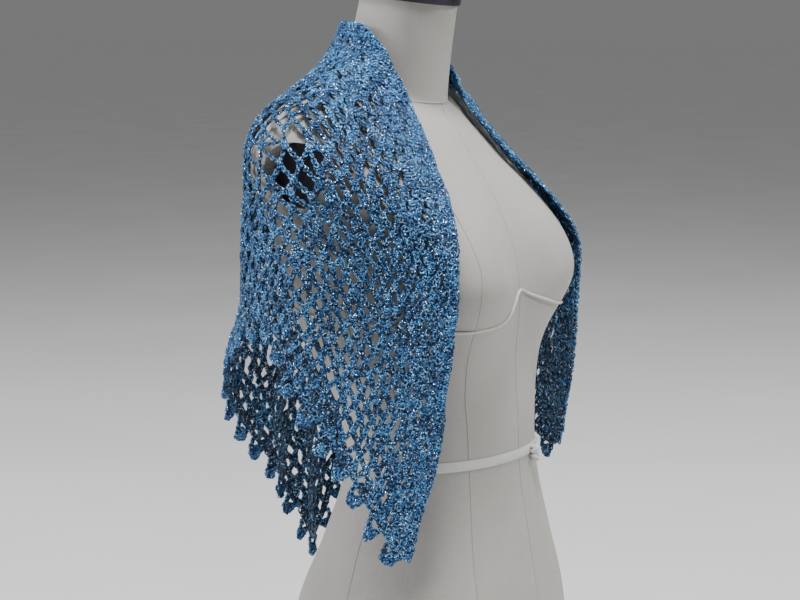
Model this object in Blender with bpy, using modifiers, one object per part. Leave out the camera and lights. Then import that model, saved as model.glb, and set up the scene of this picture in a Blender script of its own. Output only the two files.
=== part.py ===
"""Crochet shawl draped over a limbless dress form.

Metres, +Z up. The form's front faces -Y and its right side is at -X. The origin lies on the
floor, in the form's middle. The shawl is a triangle of chain net: its long edge runs up the
right front, round the nape and down the left front, and its point hangs at the centre back.
"""

import math
from types import SimpleNamespace

import bmesh
import bpy
import numpy as np

# Form
NECK_TOP = 0.745
NECK_TILT = math.radians(9)
NECK_TILT_START = 0.700
FORM_SEGMENTS = 44
FORM_LEVELS = (
    0.000, 0.012, 0.050, 0.100, 0.150, 0.200, 0.250, 0.295, 0.340, 0.380, 0.410, 0.435,
    0.460, 0.485, 0.510, 0.535, 0.560, 0.582, 0.602, 0.620, 0.637, 0.652, 0.668, 0.685,
    0.705, 0.725, NECK_TOP,
)
FORM_COLUMNS = ("z", "half_width", "centre_y", "front", "back", "front_square", "back_square")
FORM_SECTIONS = (
    (0.000, 0.156, 0.004, 0.118, 0.120, 2.20, 2.2),
    (0.050, 0.161, 0.003, 0.124, 0.124, 2.20, 2.2),
    (0.100, 0.164, 0.001, 0.128, 0.124, 2.20, 2.2),
    (0.160, 0.156, 0.000, 0.122, 0.114, 2.20, 2.2),
    (0.220, 0.136, -0.003, 0.109, 0.095, 2.10, 2.1),
    (0.295, 0.113, -0.010, 0.090, 0.084, 2.10, 2.1),
    (0.340, 0.116, -0.008, 0.090, 0.092, 2.10, 2.1),
    (0.400, 0.128, 0.000, 0.094, 0.108, 2.30, 2.2),
    (0.460, 0.139, 0.007, 0.101, 0.120, 2.50, 2.4),
    (0.520, 0.152, 0.018, 0.100, 0.120, 2.40, 2.6),
    (0.565, 0.175, 0.034, 0.096, 0.110, 2.00, 2.6),
    (0.595, 0.182, 0.044, 0.087, 0.098, 1.60, 2.5),
    (0.617, 0.177, 0.050, 0.080, 0.088, 1.35, 2.3),
    (0.637, 0.158, 0.050, 0.060, 0.080, 1.40, 2.1),
    (0.657, 0.118, 0.048, 0.035, 0.066, 1.40, 2.0),
    (0.680, 0.068, 0.043, 0.030, 0.054, 1.60, 2.0),
    (0.705, 0.040, 0.034, 0.030, 0.046, 2.00, 2.0),
    (0.745, 0.030, 0.022, 0.030, 0.040, 2.00, 2.0),
)
NECK_COLUMNS = ("z", "half_width", "front_y", "back_y")
NECK_SECTIONS = (
    (0.000, 0.0500, -0.008, 0.060),
    (0.600, 0.0520, -0.008, 0.090),
    (0.660, 0.0510, -0.013, 0.088),
    (0.700, 0.0495, -0.017, 0.082),
    (0.745, 0.0480, -0.022, 0.071),
)
NECK_BLEND = 14
BUST_ANGLE = 38
BUST_HEIGHT = 0.486
BUST_OUT = 0.036
BUST_SPREAD = 24
BUST_RISE = 0.078
BUST_FALL = 0.056

SEAT_GAP = 0.0003

CAP_RADIUS = 0.0505
CAP_HEIGHT = 0.020
CAP_CENTRE_Y = 0.0245
CAP_RIM = 0.008
CAP_DOME_STEPS = 5
CAP_STEPS = 36

ARMHOLE_Y = 0.046
ARMHOLE_Z = 0.584
ARMHOLE_RADIUS = 0.031
ARMHOLE_FLOOR_X = 0.155
ARMHOLE_SEGMENTS = 32
CUTTER_DEPTH = 0.06
PLATE_THICKNESS = 0.004

# Shawl
AXIS_Y = 0.03
CLOTH_TOP = 0.710
CLOTH_BOTTOM = 0.100
CLOTH_EASE = 0.0034
CLOTH_LIFT = 0.0050
HEIGHT_STEP = 0.0025
ACROSS_STEPS = 161
DOWN_STEP = 0.005
DOWN_REACH = 0.680
NET_THICKNESS = 0.0030
BAND_THICKNESS = 0.0036
BAND_WIDTH = 0.0080
CELL_WIDTH = 0.022
ROW_HEIGHT = 0.016
SHORTEST_ROW = 0.02
ROW_SAMPLES = 60
HEM_SAMPLES = 400
GAP_MARGIN = 0.0040
GAPS_RIGHT_FRONT = 80
GAPS_BACK = 90
GAPS_LEFT_FRONT = 60
SEAM_GAP = 0.0006
SEAM_GAP_ACROSS = 0.0020
HEM_GAP = 0.0010
BAND_STEPS_FRONT = 37
BAND_STEPS_NECK = 14

# The net is stretched open over the shoulders and closes up towards its edges.
OPEN_ACROSS = 0.62
OPEN_ACROSS_SPREAD = 0.16
OPEN_DOWN = 0.19
OPEN_DOWN_SPREAD = 0.07
OPEN_AMOUNT = 1.5
CLOSED_ACROSS = 0.08
CLOSED_DOWN = 0.07

# Angles count from the centre back, towards the right side where positive.
EDGE_COLUMNS = ("z", "right_angle", "left_angle")
FRONT_EDGES = (
    (0.100, 106, 111),
    (0.215, 119, 120),
    (0.245, 121, 123),
    (0.290, 125, 127),
    (0.325, 128, 130),
    (0.380, 130, 134),
    (0.445, 133, 136),
    (0.510, 134, 139),
    (0.550, 134, 140),
    (0.580, 132, 138),
    (0.620, 126, 128),
    (0.665, 108, 104),
    (0.690, 92, 87),
    (0.710, 75, 72),
)
HEM_COLUMNS = ("angle", "z")
HEM = (
    (-143, 0.300),
    (-132, 0.288),
    (-120, 0.284),
    (-104, 0.338),
    (-90, 0.400),
    (-71, 0.438),
    (-50, 0.374),
    (-30, 0.264),
    (-20, 0.192),
    (-14, 0.175),
    (-6, 0.190),
    (2, 0.220),
    (10, 0.248),
    (20, 0.274),
    (30, 0.314),
    (38, 0.350),
    (46, 0.390),
    (56, 0.424),
    (66, 0.440),
    (76, 0.447),
    (84, 0.434),
    (90, 0.388),
    (97, 0.345),
    (105, 0.304),
    (113, 0.261),
    (120, 0.226),
    (139, 0.177),
)
RIGHT_SPLIT = 0.55
LEFT_SPLIT = -0.50
EDGE_CURL_RIGHT = 0.0015
EDGE_CURL_LEFT = 0.0035
EDGE_CURL_REACH = 0.05

# The collar stands off the nape, and lies closer again towards the front.
COLLAR_COLUMNS = ("z", "out")
COLLAR = (
    (0.640, 0.0000),
    (0.660, 0.0008),
    (0.675, 0.0038),
    (0.690, 0.0078),
    (0.700, 0.0086),
    (0.710, 0.0078),
)
COLLAR_REACH = 78

# Soft folds stand out from the cloth's own line, widest where they hang free.
FOLD_COLUMNS = ("angle", "half_width", "out", "top_z", "full_z")
FOLDS = (
    (128, 9, 0.005, 0.50, 0.34),
    (108, 8, 0.004, 0.54, 0.40),
    (88, 9, 0.007, 0.56, 0.46),
    (62, 9, 0.004, 0.58, 0.50),
    (40, 17, 0.033, 0.49, 0.38),
    (8, 9, 0.012, 0.50, 0.30),
    (-18, 10, 0.014, 0.52, 0.32),
    (-44, 12, 0.016, 0.52, 0.38),
    (-72, 9, 0.006, 0.56, 0.44),
    (-96, 8, 0.007, 0.54, 0.40),
    (-120, 8, 0.004, 0.50, 0.34),
)

LOOP_PITCH = 0.030
LOOP_WIDTH = 0.023
LOOP_LENGTH = 0.022
LOOP_STRAND = 0.0062
LOOP_ROOT = 0.0065
LOOP_STEPS = 5
LOOP_DROOP = 0.9
LOOP_SPARE = 0.0004
LOOP_SHIFTS = (0, 0.001, -0.001, 0.002, -0.002, 0.003, -0.003)

LINEN = ("linen", (0.62, 0.60, 0.56), 0.85, 0.0)
DARK_METAL = ("dark_metal", (0.10, 0.10, 0.12), 0.35, 1.0)
YARN = ("blue_yarn", (0.10, 0.27, 0.50), 0.45, 0.0)


def smooth_rows(columns, table, at):
    """A table's columns at the given places of its first one, on a cubic through its rows."""
    rows = np.asarray(table, float)
    keys, values = rows[:, 0], rows[:, 1:]
    steps = np.diff(keys)[:, None]
    slopes = np.diff(values, axis=0) / steps
    inner = (slopes[:-1] * steps[1:] + slopes[1:] * steps[:-1]) / (steps[1:] + steps[:-1])
    tangents = np.vstack([slopes[:1], inner, slopes[-1:]])
    at = np.clip(np.asarray(at, float), keys[0], keys[-1])
    row = np.clip(np.searchsorted(keys, at, side="right") - 1, 0, len(keys) - 2)
    span = (keys[row + 1] - keys[row])[..., None]
    t = (at[..., None] - keys[row][..., None]) / span
    found = (
        (2 * t**3 - 3 * t**2 + 1) * values[row]
        + (t**3 - 2 * t**2 + t) * span * tangents[row]
        + (3 * t**2 - 2 * t**3) * values[row + 1]
        + (t**3 - t**2) * span * tangents[row + 1]
    )
    return SimpleNamespace(**dict(zip(columns[1:], np.moveaxis(found, -1, 0))))


def oval(angle, half_width, front, back, front_square=2.0, back_square=2.0):
    """Radius of a superellipse whose front and back halves differ."""
    across, along = np.sin(angle), np.cos(angle)
    depth = np.where(along > 0, front, back)
    power = np.where(along > 0, front_square, back_square)
    total = np.abs(across / half_width) ** power + np.abs(along / depth) ** power
    return total ** (-1 / power)


def form_point(angle, z):
    """Point of the form's skin, at an angle from the front, positive towards +X."""
    row = smooth_rows(FORM_COLUMNS, FORM_SECTIONS, z)
    shape = (row.half_width, row.front, row.back, row.front_square, row.back_square)
    body = oval(angle, *shape)
    stem = smooth_rows(NECK_COLUMNS, NECK_SECTIONS, z)
    neck = oval(angle, stem.half_width, row.centre_y - stem.front_y, stem.back_y - row.centre_y)
    radius = (body**NECK_BLEND + neck**NECK_BLEND) ** (1 / NECK_BLEND)
    height = z - BUST_HEIGHT
    reach = np.where(height > 0, BUST_RISE, BUST_FALL)
    for side in (-1, 1):
        away = (np.degrees(angle) - side * BUST_ANGLE + 180) % 360 - 180
        radius = radius + BUST_OUT * np.exp(-((away / BUST_SPREAD) ** 2) - (height / reach) ** 2)
    return radius * np.sin(angle), row.centre_y - radius * np.cos(angle)


def outline_round(x, y):
    """Corners of the convex outline round a set of points, in order."""
    points = sorted(zip(x, y))

    def half(run):
        corners = []
        for point in run:
            while len(corners) > 1:
                (ax, ay), (bx, by) = corners[-2], corners[-1]
                if (bx - ax) * (point[1] - ay) - (by - ay) * (point[0] - ax) > 0:
                    break
                corners.pop()
            corners.append(point)
        return corners[:-1]

    return np.array(half(points) + half(points[::-1]))


def radii_of(corners, angles):
    """Distances from the axis to a closed outline, in the directions of the angles."""
    start, end = corners, np.roll(corners, -1, axis=0)
    edge = end - start
    across, along = np.sin(angles)[:, None], np.cos(angles)[:, None]
    turn = across * edge[None, :, 1] - along * edge[None, :, 0]
    turn = np.where(np.abs(turn) < 1e-12, -1e-12, turn)
    reach = (start[None, :, 0] * edge[None, :, 1] - start[None, :, 1] * edge[None, :, 0]) / turn
    return np.where(reach > 0, reach, np.inf).min(axis=1)


def drape_radii(heights, angles):
    """Radius of a cloth that hangs from the form, for each height, top first, and each angle."""
    ring = np.radians(np.arange(-180, 180, 0.5))
    widest = np.zeros(len(ring))
    rows = []
    for z in heights:
        x, y = form_point(ring, np.full_like(ring, z))
        bearing = np.arctan2(x, AXIS_Y - y)
        order = np.argsort(bearing)
        reach = np.hypot(x, y - AXIS_Y)[order]
        widest = np.maximum(widest, np.interp(ring, bearing[order], reach, period=2 * math.pi))
        corners = outline_round(widest * np.sin(ring), widest * np.cos(ring))
        rows.append(radii_of(corners, angles))
    return np.array(rows)


class Drape:
    """The shawl's surface: across 1 at the right front edge and -1 at the left one, and down
    the distance along the cloth from its top edge at the neck."""

    def __init__(self):
        self.across = np.linspace(-1, 1, ACROSS_STEPS)
        self.down = np.arange(0, DOWN_REACH, DOWN_STEP)
        heights = np.arange(CLOTH_TOP, CLOTH_BOTTOM - HEIGHT_STEP / 2, -HEIGHT_STEP)
        curl = EDGE_CURL_RIGHT * np.exp(-(((1 - self.across) / EDGE_CURL_REACH) ** 2))
        curl += EDGE_CURL_LEFT * np.exp(-(((1 + self.across) / EDGE_CURL_REACH) ** 2))
        edges = smooth_rows(EDGE_COLUMNS, FRONT_EDGES, heights)
        angles = np.radians(np.arange(-180, 181, 1.0))
        radii = drape_radii(heights, angles)
        columns, hem = [], []
        for across, lip in zip(self.across, curl):
            back_angle = across * (edges.right_angle if across > 0 else edges.left_angle)
            bearing = np.radians(back_angle - 180)
            bearing = (bearing + math.pi) % (2 * math.pi) - math.pi
            radius = np.array([np.interp(b, angles, row) for b, row in zip(bearing, radii)])
            radius = radius + CLOTH_EASE + lip + self.folds(back_angle, heights)
            x, y = radius * np.sin(bearing), AXIS_Y - radius * np.cos(bearing)
            line = np.stack([x, y, heights + CLOTH_LIFT], axis=-1)
            length = np.concatenate([[0], np.cumsum(np.linalg.norm(np.diff(line, axis=0), axis=1))])
            columns.append(np.stack([np.interp(self.down, length, axis) for axis in line.T], -1))
            above = heights - smooth_rows(HEM_COLUMNS, HEM, back_angle).z
            crossing = int(np.argmax(above < 0))
            share = above[crossing - 1] / (above[crossing - 1] - above[crossing])
            hem.append(length[crossing - 1] + share * (length[crossing] - length[crossing - 1]))
        self.grid = np.array(columns)
        self.hem = np.array(hem)

    @staticmethod
    def folds(back_angle, heights):
        collar = smooth_rows(COLLAR_COLUMNS, COLLAR, heights).out
        out = collar * np.exp(-((back_angle / COLLAR_REACH) ** 4))
        for row in FOLDS:
            fold = SimpleNamespace(**dict(zip(FOLD_COLUMNS, row)))
            drop = np.clip((fold.top_z - heights) / (fold.top_z - fold.full_z), 0, 1)
            swell = drop * drop * (3 - 2 * drop)
            away = (back_angle - fold.angle) / fold.half_width
            out = out + fold.out * swell * np.exp(-(away**2))
        return out

    def point(self, across, down):
        i = np.clip((across + 1) / 2 * (len(self.across) - 1), 0, len(self.across) - 1.001)
        j = np.clip(down / DOWN_STEP, 0, len(self.down) - 1.001)
        a, b = int(i), int(j)
        s, t = i - a, j - b
        near = self.grid[a, b] * (1 - t) + self.grid[a, b + 1] * t
        far = self.grid[a + 1, b] * (1 - t) + self.grid[a + 1, b + 1] * t
        return near * (1 - s) + far * s

    def normal(self, across, down):
        """Outward direction, away from the form."""
        side = 2 / ACROSS_STEPS
        along = self.point(across + side, down) - self.point(across - side, down)
        fall = self.point(across, down + DOWN_STEP) - self.point(across, down - DOWN_STEP)
        out = np.cross(fall, along)
        return out / np.linalg.norm(out)

    def hem_down(self, across):
        return float(np.interp(across, self.across, self.hem))


def clear_scene():
    for old in list(bpy.data.objects):
        bpy.data.objects.remove(old, do_unlink=True)


def new_collection(name, hidden=False):
    collection = bpy.data.collections.new(name)
    bpy.context.scene.collection.children.link(collection)
    collection.hide_render = hidden
    return collection


def material(spec):
    name, colour, roughness, metallic = spec
    found = bpy.data.materials.get(name)
    if found:
        return found
    made = bpy.data.materials.new(name)
    made.use_nodes = True
    shader = made.node_tree.nodes["Principled BSDF"]
    shader.inputs["Base Color"].default_value = (*colour, 1)
    shader.inputs["Roughness"].default_value = roughness
    shader.inputs["Metallic"].default_value = metallic
    return made


def add_object(name, mesh_builder, collection, spec):
    mesh = bpy.data.meshes.new(name)
    mesh_builder.to_mesh(mesh)
    mesh_builder.free()
    mesh.materials.append(material(spec))
    mesh.shade_smooth()
    made = bpy.data.objects.new(name, mesh)
    collection.objects.link(made)
    return made


def add_solidify(made, thickness):
    shell = made.modifiers.new("wall", "SOLIDIFY")
    shell.thickness = thickness
    shell.offset = 1
    shell.use_even_offset = False
    return shell


def tilt_neck(x, y, z):
    """The neck's top leans down towards the front."""
    lean = max(0.0, (z - NECK_TILT_START) / (NECK_TOP - NECK_TILT_START))
    return x, y, z + lean * math.tan(NECK_TILT) * (y - CAP_CENTRE_Y)


def build_torso(collection):
    loft = bmesh.new()
    angles = np.arange(FORM_SEGMENTS) * 2 * math.pi / FORM_SEGMENTS
    rings = []
    for z in FORM_LEVELS:
        x, y = form_point(angles, np.full_like(angles, z))
        rings.append([loft.verts.new(tilt_neck(*xy, z)) for xy in zip(x, y)])
    for low, high in zip(rings, rings[1:]):
        for i in range(FORM_SEGMENTS):
            j = (i + 1) % FORM_SEGMENTS
            loft.faces.new((low[i], low[j], high[j], high[i]))
    loft.faces.new(rings[0][::-1])
    loft.faces.new(rings[-1])
    return add_object("torso", loft, collection, LINEN)


def cut_armholes(torso, cutters):
    for name, side in (("right", -1), ("left", 1)):
        shape = bmesh.new()
        bmesh.ops.create_cone(
            shape,
            cap_ends=True,
            segments=ARMHOLE_SEGMENTS,
            radius1=ARMHOLE_RADIUS,
            radius2=ARMHOLE_RADIUS,
            depth=CUTTER_DEPTH,
        )
        cutter = add_object(f"armhole_cutter_{name}", shape, cutters, DARK_METAL)
        cutter.rotation_euler = (0, math.pi / 2, 0)
        middle = ARMHOLE_FLOOR_X + CUTTER_DEPTH / 2
        cutter.location = (side * middle, ARMHOLE_Y, ARMHOLE_Z)
        cutter.hide_render = True
        cutter.display_type = "WIRE"
        cut = torso.modifiers.new(f"armhole_{name}", "BOOLEAN")
        cut.operation = "DIFFERENCE"
        cut.solver = "EXACT"
        cut.object = cutter


def build_armhole_plates(collection):
    for name, side in (("right", -1), ("left", 1)):
        disc = bmesh.new()
        bmesh.ops.create_cone(
            disc,
            cap_ends=True,
            segments=ARMHOLE_SEGMENTS,
            radius1=ARMHOLE_RADIUS - 2 * SEAT_GAP,
            radius2=ARMHOLE_RADIUS - 2 * SEAT_GAP,
            depth=PLATE_THICKNESS,
        )
        plate = add_object(f"armhole_plate_{name}", disc, collection, DARK_METAL)
        plate.rotation_euler = (0, math.pi / 2, 0)
        middle = ARMHOLE_FLOOR_X + SEAT_GAP + PLATE_THICKNESS / 2
        plate.location = (side * middle, ARMHOLE_Y, ARMHOLE_Z)


def build_neck_cap(collection):
    """A low turned cap, with a straight rim and a domed top, leaning with the neck."""
    profile = bmesh.new()
    heights = [(0.0, CAP_HEIGHT)]
    for i in range(1, CAP_DOME_STEPS + 1):
        turn = i / CAP_DOME_STEPS * math.pi / 2
        rise = CAP_RIM + (CAP_HEIGHT - CAP_RIM) * math.cos(turn)
        heights.append((CAP_RADIUS * math.sin(turn), rise))
    heights += [(CAP_RADIUS, 0.0), (0.0, 0.0)]
    points = [profile.verts.new((radius, 0, z)) for radius, z in heights]
    for a, b in zip(points, points[1:]):
        profile.edges.new((a, b))
    cap = add_object("neck_cap", profile, collection, DARK_METAL)
    turned = cap.modifiers.new("turned", "SCREW")
    turned.steps = CAP_STEPS
    turned.render_steps = CAP_STEPS
    turned.use_merge_vertices = True
    turned.merge_threshold = 0.00001
    turned.use_smooth_shade = True
    cap.location = (0, CAP_CENTRE_Y, NECK_TOP + SEAT_GAP)
    cap.rotation_euler = (NECK_TILT, 0, 0)


def row_points(drape, first, last, down, staggered):
    """Across values along one row of the net, evenly spaced on the cloth."""
    samples = np.linspace(first, last, ROW_SAMPLES)
    places = np.array([drape.point(a, down) for a in samples])
    length = np.concatenate([[0], np.cumsum(np.linalg.norm(np.diff(places, axis=0), axis=1))])
    count = max(1, round(length[-1] / CELL_WIDTH))
    if staggered:
        marks = np.concatenate([[0], (np.arange(count) + 0.5) / count, [1]])
    else:
        marks = np.arange(count + 1) / count
    return np.interp(marks * length[-1], length, samples)


def hem_range(drape, first, last, down):
    """The stretch of a panel's row that lies above the hem, or None."""
    samples = np.linspace(first, last, HEM_SAMPLES)
    inside = samples[[drape.hem_down(a) > down for a in samples]]
    if not len(inside) or inside[-1] - inside[0] < SHORTEST_ROW:
        return None
    return inside[0], inside[-1]


def fill_between(net, upper, lower):
    """Triangles between two rows of (across, vertex) pairs with unlike counts."""
    i = j = 0
    while i < len(upper) - 1 or j < len(lower) - 1:
        next_upper = upper[i + 1][0] if i < len(upper) - 1 else math.inf
        next_lower = lower[j + 1][0] if j < len(lower) - 1 else math.inf
        if next_upper <= next_lower:
            net.faces.new((upper[i][1], lower[j][1], upper[i + 1][1]))
            i += 1
        else:
            net.faces.new((upper[i][1], lower[j][1], lower[j + 1][1]))
            j += 1


def build_net_panel(drape, name, first, last, collection, gaps):
    """One stretch of net. It gives the rows' ends, which the edging follows."""
    net = bmesh.new()
    above, rungs, ends = None, [], []
    row = 0
    while True:
        down = SEAM_GAP + row * ROW_HEIGHT
        stretch = hem_range(drape, first, last, down)
        if stretch is None:
            break
        marks = row_points(drape, *stretch, down, row % 2 == 1)
        line = [(a, net.verts.new(drape.point(a, down))) for a in marks]
        head, tail = [], []
        if stretch[0] > first and ends[-1][0] == first:
            head = [(first, net.verts.new(drape.point(first, drape.hem_down(first))))]
        if stretch[1] < last and ends[-1][1] == last:
            tail = [(last, net.verts.new(drape.point(last, drape.hem_down(last))))]
        ends.append((*stretch, down))
        if above:
            fill_between(net, above, head + line + tail)
            rungs += [(p[1], q[1], (p[0] + q[0]) / 2, down) for p, q in zip(line, line[1:])]
        above = line
        row += 1
    samples = np.linspace(first, last, HEM_SAMPLES)
    lowest = samples[np.argmax([drape.hem_down(a) for a in samples])]
    tip = (lowest, net.verts.new(drape.point(lowest, drape.hem_down(lowest))))
    fill_between(net, above, [tip])
    ends.append((lowest, lowest, drape.hem_down(lowest)))
    net.normal_update()
    cells = []
    for left, right, across, down in rungs:
        edge = net.edges.get((left, right))
        if edge and len(edge.link_faces) == 2:
            cells.append((gap_weight(across, down), edge))
    cells.sort(key=lambda cell: -cell[0])
    faces = [bmesh.utils.face_join(list(edge.link_faces)) for _, edge in cells[:gaps]]
    bmesh.ops.inset_individual(net, faces=faces, thickness=GAP_MARGIN, use_even_offset=True)
    bmesh.ops.delete(net, geom=faces, context="FACES")
    panel = add_object(name, net, collection, YARN)
    add_solidify(panel, NET_THICKNESS)
    return ends


def gap_weight(across, down):
    """How far open the net is at a place."""
    side = (abs(across) - OPEN_ACROSS) / OPEN_ACROSS_SPREAD
    height = (down - OPEN_DOWN) / OPEN_DOWN_SPREAD
    shoulder = math.exp(-(side**2) - height**2)
    from_edge = (1 - abs(across)) / CLOSED_ACROSS
    near_edge = math.exp(-(from_edge**2)) + math.exp(-((down / CLOSED_DOWN) ** 2))
    return (1 + OPEN_AMOUNT * shoulder) * max(0.0, 1 - near_edge)


def unit(vector):
    return vector / np.linalg.norm(vector)


class Seam:
    """A line on the cloth through the given (across, down) places, straight between them."""

    def __init__(self, drape, places):
        self.points = np.array([drape.point(*place) for place in places])
        self.normals = np.array([drape.normal(*place) for place in places])
        steps = np.linalg.norm(np.diff(self.points, axis=0), axis=1)
        self.marks = np.concatenate([[0], np.cumsum(steps)])
        self.length = self.marks[-1]

    def at(self, mark):
        return np.array([np.interp(mark, self.marks, axis) for axis in self.points.T])

    def frame(self, mark, reach=0.006):
        """Directions along the line, out of the cloth and beyond its edge."""
        along = unit(self.at(mark + reach) - self.at(mark - reach))
        out = unit(np.array([np.interp(mark, self.marks, axis) for axis in self.normals.T]))
        return along, out, unit(np.cross(along, out))


def build_edge_band(drape, collection):
    """The long edge: up the right front, round the nape and down the left front."""
    right_tip, left_tip = drape.hem_down(1), drape.hem_down(-1)
    places = [(1, down) for down in np.linspace(right_tip, SEAM_GAP, BAND_STEPS_FRONT)]
    places += [(across, SEAM_GAP) for across in np.linspace(1, -1, BAND_STEPS_NECK)[1:-1]]
    places += [(-1, down) for down in np.linspace(SEAM_GAP, left_tip, BAND_STEPS_FRONT)]
    seam = Seam(drape, places)
    strip = bmesh.new()
    pairs = []
    for mark in seam.marks:
        _, _, beyond = seam.frame(mark)
        root = seam.at(mark)
        pair = [strip.verts.new(root + beyond * w) for w in (SEAM_GAP, BAND_WIDTH)]
        pairs.append(pair)
    for (a, b), (c, d) in zip(pairs, pairs[1:]):
        strip.faces.new((a, b, d, c))
    band = add_object("edge_band", strip, collection, YARN)
    add_solidify(band, BAND_THICKNESS)


def build_hem_edging(drape, name, places, collection):
    """A narrow strip along the hem, with open loops of chain hanging from it."""
    seam = Seam(drape, places)
    count = int(seam.length / LOOP_PITCH)
    outside = LOOP_WIDTH / 2
    inside = outside - LOOP_STRAND
    strand_middle = outside - LOOP_STRAND / 2

    def clear_of_corners(centre):
        """Whether neither root of a loop has a corner of the hem in it."""
        from_roots = np.abs(np.abs(seam.marks - centre) - strand_middle)
        return from_roots.min() > LOOP_STRAND / 2 + LOOP_SPARE

    centres = []
    for even in (np.arange(count) + 0.5) * seam.length / count:
        clear = [even + shift for shift in LOOP_SHIFTS if clear_of_corners(even + shift)]
        centres += clear[:1]
    stops = {float(np.clip(mark, HEM_GAP, seam.length - HEM_GAP)) for mark in seam.marks}
    for centre in centres:
        for offset in (-outside, -inside, inside, outside):
            stops.add(float(centre + offset))
    strip = bmesh.new()
    down = np.array([0, 0, -1.0])

    def hang(mark):
        _, out, beyond = seam.frame(mark, reach=LOOP_PITCH)
        fall = down - out * np.dot(down, out)
        return unit(beyond + LOOP_DROOP * fall)

    roots = {}
    for mark in sorted(stops):
        base, way = seam.at(mark), hang(mark)
        roots[mark] = [strip.verts.new(base + way * w) for w in (HEM_GAP, LOOP_ROOT)]
    ordered = [roots[mark] for mark in sorted(roots)]
    for (a, b), (c, d) in zip(ordered, ordered[1:]):
        strip.faces.new((a, b, d, c))
    for centre in centres:
        start = roots[float(centre - outside)][1]
        start_inner = roots[float(centre - inside)][1]
        end_inner = roots[float(centre + inside)][1]
        end = roots[float(centre + outside)][1]
        way = hang(centre)
        outer, inner = [start], [start_inner]
        for step in range(1, LOOP_STEPS):
            turn = math.pi * step / LOOP_STEPS
            share = (1 - math.cos(turn)) / 2
            for line, first, last, length in (
                (outer, start, end, LOOP_LENGTH),
                (inner, start_inner, end_inner, LOOP_LENGTH - LOOP_STRAND),
            ):
                place = np.array(first.co) * (1 - share) + np.array(last.co) * share
                line.append(strip.verts.new(place + way * length * math.sin(turn)))
        outer.append(end)
        inner.append(end_inner)
        for k in range(LOOP_STEPS):
            strip.faces.new((inner[k], outer[k], outer[k + 1], inner[k + 1]))
    edging = add_object(name, strip, collection, YARN)
    add_solidify(edging, NET_THICKNESS)


def hem_places(drape, ends, side):
    """Places along the hem at one side of a panel, from its highest to its lowest."""
    start = ends[0][side]
    return [(start, drape.hem_down(start))] + [(e[side], e[2]) for e in ends if e[side] != start]


def main():
    clear_scene()
    parts = new_collection("crochet_shawl_on_dress_form")
    cutters = new_collection("cutters")
    torso = build_torso(parts)
    cut_armholes(torso, cutters)
    build_armhole_plates(parts)
    build_neck_cap(parts)
    drape = Drape()
    right_start = RIGHT_SPLIT + SEAM_GAP_ACROSS
    left_end = LEFT_SPLIT - SEAM_GAP_ACROSS
    right = build_net_panel(drape, "net_right_front", right_start, 1, parts, GAPS_RIGHT_FRONT)
    back = build_net_panel(drape, "net_back", LEFT_SPLIT, RIGHT_SPLIT, parts, GAPS_BACK)
    left = build_net_panel(drape, "net_left_front", -1, left_end, parts, GAPS_LEFT_FRONT)
    build_edge_band(drape, parts)
    hem_right = hem_places(drape, back, 1)[::-1] + hem_places(drape, right, 0)
    hem_left = hem_places(drape, left, 1)[::-1] + hem_places(drape, back, 0)
    build_hem_edging(drape, "hem_edging_right", hem_right, parts)
    build_hem_edging(drape, "hem_edging_left", hem_left, parts)


main()
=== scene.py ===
"""Looks of the crochet shawl on its dress form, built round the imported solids.

Metres, +Z up, front at -Y, the form's right side at -X. The form and the cloth's surface repeat
the named sizes and tables of the part's source, and the yarn is laid along that surface.
"""

import math
from types import SimpleNamespace

import bpy
import numpy as np
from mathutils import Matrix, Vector


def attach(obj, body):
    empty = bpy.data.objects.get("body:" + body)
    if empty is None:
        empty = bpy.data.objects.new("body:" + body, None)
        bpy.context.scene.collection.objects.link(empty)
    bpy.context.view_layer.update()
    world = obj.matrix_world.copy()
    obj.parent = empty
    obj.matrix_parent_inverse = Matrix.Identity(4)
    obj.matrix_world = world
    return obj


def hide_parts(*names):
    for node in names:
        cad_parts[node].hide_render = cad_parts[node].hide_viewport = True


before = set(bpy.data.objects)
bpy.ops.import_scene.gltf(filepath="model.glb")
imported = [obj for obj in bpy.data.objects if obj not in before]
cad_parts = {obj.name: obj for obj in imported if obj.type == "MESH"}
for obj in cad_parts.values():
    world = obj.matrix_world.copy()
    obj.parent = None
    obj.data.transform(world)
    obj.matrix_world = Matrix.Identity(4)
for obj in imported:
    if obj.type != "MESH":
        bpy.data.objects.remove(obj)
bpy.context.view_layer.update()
TURN = 2 * math.pi

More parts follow.
